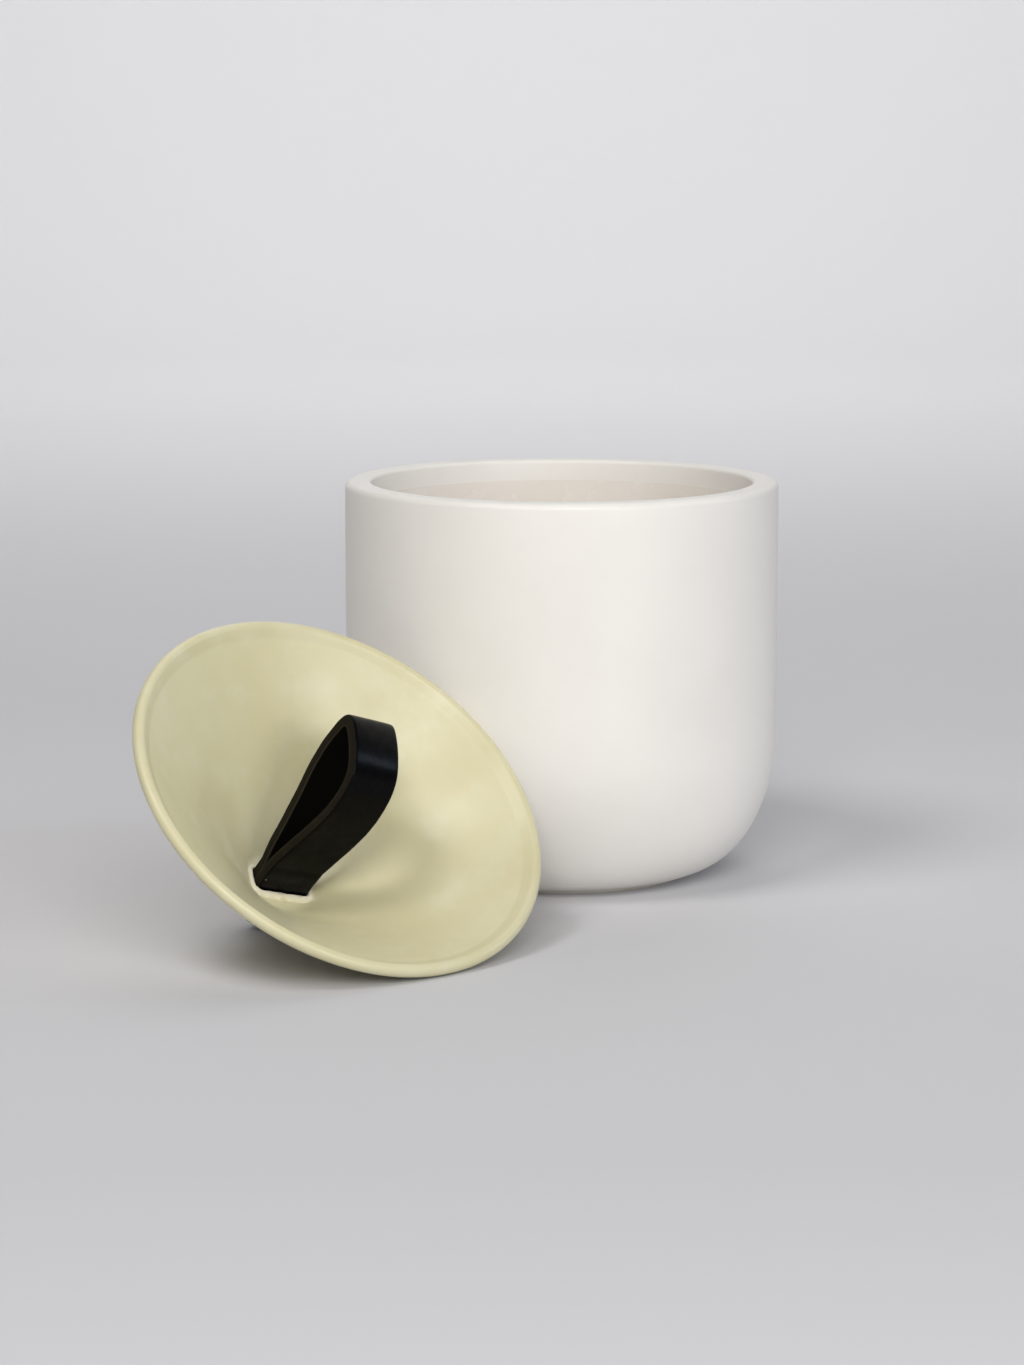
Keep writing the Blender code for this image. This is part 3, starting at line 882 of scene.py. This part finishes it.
def make_strap(matrix):
    strap = new_object("strap_strip", strap_mesh(), matrix)
    hole = arc((0.0, 0.0), TAIL_HOLE_RADIUS, TAIL_HOLE_RADIUS, 0.0, math.tau, 48)[:-1]
    drill = prism_mesh("tail_hole", hole, -9.0 * MM, 9.0 * MM)
    for material in (strap_face(), strap_edge(), strap_back()):
        strap.data.materials.append(material)
    drill.materials.append(strap.data.materials[EDGE])
    combine(strap, new_object("tail_hole", drill, screw_matrix(matrix)), "DIFFERENCE")
    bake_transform(strap)
    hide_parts("strap_tails", "strap_loop")
    return strap


# ---------------------------------------------------------------- binding screw

def head_outline(side):
    """A shallow domed head from its middle to its underside, on the side of the strap given."""
    top = SCREW_SEAT + SCREW_HEAD_THICKNESS
    radius = SCREW_HEAD_RADIUS * 0.995
    points = [(0.0, top), (0.3 * radius, top - 0.03 * MM), (0.6 * radius, top - 0.14 * MM)]
    points += [(0.8 * radius, top - 0.28 * MM), (0.92 * radius, top - 0.46 * MM)]
    points += [(0.975 * radius, top - 0.64 * MM), (radius, top - 0.85 * MM)]
    points += [(radius, SCREW_SEAT + 0.15 * MM), (radius - 0.15 * MM, SCREW_SEAT)]
    return [(x, side * z) for x, z in points]


def make_screw_piece(name, node, outline, matrix, material, slotted):
    mesh = turned_mesh(name, zoned(outline, 0), SCREW_STEPS)
    piece = new_object(name, mesh, matrix)
    if slotted:
        length, width = DRIVER_SLOT_HALF_LENGTH, DRIVER_SLOT_HALF_WIDTH
        slot = [(-length, -width), (length, -width), (length, width), (-length, width)]
        top = SCREW_SEAT + SCREW_HEAD_THICKNESS
        cutter = prism_mesh("driver_slot", slot, top - DRIVER_SLOT_DEPTH, top + 1.0 * MM)
        combine(piece, new_object("driver_slot", cutter, matrix), "DIFFERENCE")
    bevel = piece.modifiers.new("soft_edges", "BEVEL")
    bevel.width = 0.06 * MM
    bevel.limit_method = "ANGLE"
    bevel.angle_limit = math.radians(40)
    bevel.segments = 2
    settle(apply_modifiers(piece))
    piece.data.materials.clear()
    piece.data.materials.append(material)
    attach(piece, "strap_screw")
    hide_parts(node)
    return piece


def make_screws(matrix):
    metal = nickel(matrix)
    post = [(0.0, -1.9 * MM), (1.8 * MM, -1.9 * MM), (1.8 * MM, 3.5 * MM), (2.5 * MM, 3.5 * MM)]
    post += [(2.5 * MM, -SCREW_SEAT)] + list(reversed(head_outline(-1.0)))
    shank = head_outline(1.0) + [(1.45 * MM, SCREW_SEAT), (1.45 * MM, -0.9 * MM)]
    shank += [(1.05 * MM, -1.3 * MM), (0.0, -1.3 * MM)]
    make_screw_piece("post_half", "screw_post", post, matrix, metal, False)
    make_screw_piece("screw_half", "binding_screw", shank, matrix, metal, True)


# ---------------------------------------------------------------- studio

def make_stage():
    """One paper sweep all round, so that every view has the same plain background."""
    built = bmesh.new()
    curve = arc((FLOOR_RADIUS, SWEEP_RADIUS), SWEEP_RADIUS, SWEEP_RADIUS, -QUARTER, 0.0, 24)
    profile = [(0.4, 0.0), (1.2, 0.0)] + curve + [(FLOOR_RADIUS + SWEEP_RADIUS, WALL_HEIGHT)]
    centre = built.verts.new((0.0, 0.0, 0.0))
    rings = []
    for radius, height in profile:
        angles = [math.tau * index / SWEEP_STEPS for index in range(SWEEP_STEPS)]
        rings.append([
            built.verts.new((radius * math.cos(a), radius * math.sin(a), height)) for a in angles
        ])
    for index in range(SWEEP_STEPS):
        after = (index + 1) % SWEEP_STEPS
        built.faces.new((centre, rings[0][index], rings[0][after]))
        for first, second in zip(rings, rings[1:]):
            face = built.faces.new((first[index], first[after], second[after], second[index]))
            face.smooth = True
    stage = new_object("studio_sweep", mesh_from("studio_sweep", built))
    stage.data.materials.append(paper())


def area_light(name, place, target, size, power, colour):
    """A large square light that the camera doesn't see."""
    light = bpy.data.lights.new(name, "AREA")
    light.shape = "SQUARE"
    light.size = size
    light.energy = power
    light.color = colour
    box = bpy.data.objects.new(name, light)
    bpy.context.scene.collection.objects.link(box)
    box.location = place
    box.rotation_mode = "QUATERNION"
    box.rotation_quaternion = (Vector(place) - Vector(target)).to_track_quat("Z", "Y")
    box.visible_camera = False


def softbox(name, azimuth, elevation, distance, size, power, colour):
    """A light aimed at the object. Azimuth 0 is behind the camera, positive to its right."""
    a, e = math.radians(azimuth), math.radians(elevation)
    away = Vector((math.sin(a) * math.cos(e), -math.cos(a) * math.cos(e), math.sin(e)))
    area_light(name, STUDIO_TARGET + distance * away, STUDIO_TARGET, size, power, colour)


def make_lights():
    softbox("front_softbox", 4.0, 31.0, distance=1.5, size=0.8, power=11.0, colour=(1.0, 0.99, 0.98))
    softbox("left_softbox", -45.0, 58.0, distance=1.5, size=0.55, power=7.0, colour=(1.0, 0.985, 0.96))
    softbox("right_softbox", 37.0, 12.0, distance=1.5, size=0.45, power=5.2, colour=(0.98, 0.99, 1.0))
    softbox("side_window", 95.5, 22.5, distance=1.5, size=0.18, power=1.7, colour=(0.62, 0.80, 1.0))
    softbox("far_light", 180.0, 55.0, distance=2.0, size=1.4, power=8.2, colour=WHITE)
    area_light("backdrop_light", (0.0, 1.6, 1.6), (0.0, 2.9, 0.35), size=1.2, power=17.5, colour=WHITE)
    world = bpy.data.worlds.new("studio")
    bpy.context.scene.world = world
    world.use_nodes = True
    sky = world.node_tree.nodes["Background"]
    sky.inputs["Color"].default_value = (0.96, 0.98, 1.0, 1.0)
    sky.inputs["Strength"].default_value = 0.02


def make_camera():
    data = bpy.data.cameras.new("camera")
    data.sensor_width = 36.0
    data.lens = 103.5
    data.shift_y = 0.0733
    data.clip_start = 0.05
    data.clip_end = 20.0
    camera = bpy.data.objects.new("camera", data)
    bpy.context.scene.collection.objects.link(camera)
    camera.location = (-0.0160, -1.260, 0.2650)
    camera.rotation_euler = (QUARTER - 0.1859, 0.0, 0.0)
    bpy.context.scene.camera = camera


bpy.context.scene.view_settings.view_transform = "Standard"
make_camera()
make_lights()
make_stage()
lid_frame = lid_matrix()
make_jar()
make_lid(lid_frame)
make_strap(lid_frame)
make_screws(screw_matrix(lid_frame))
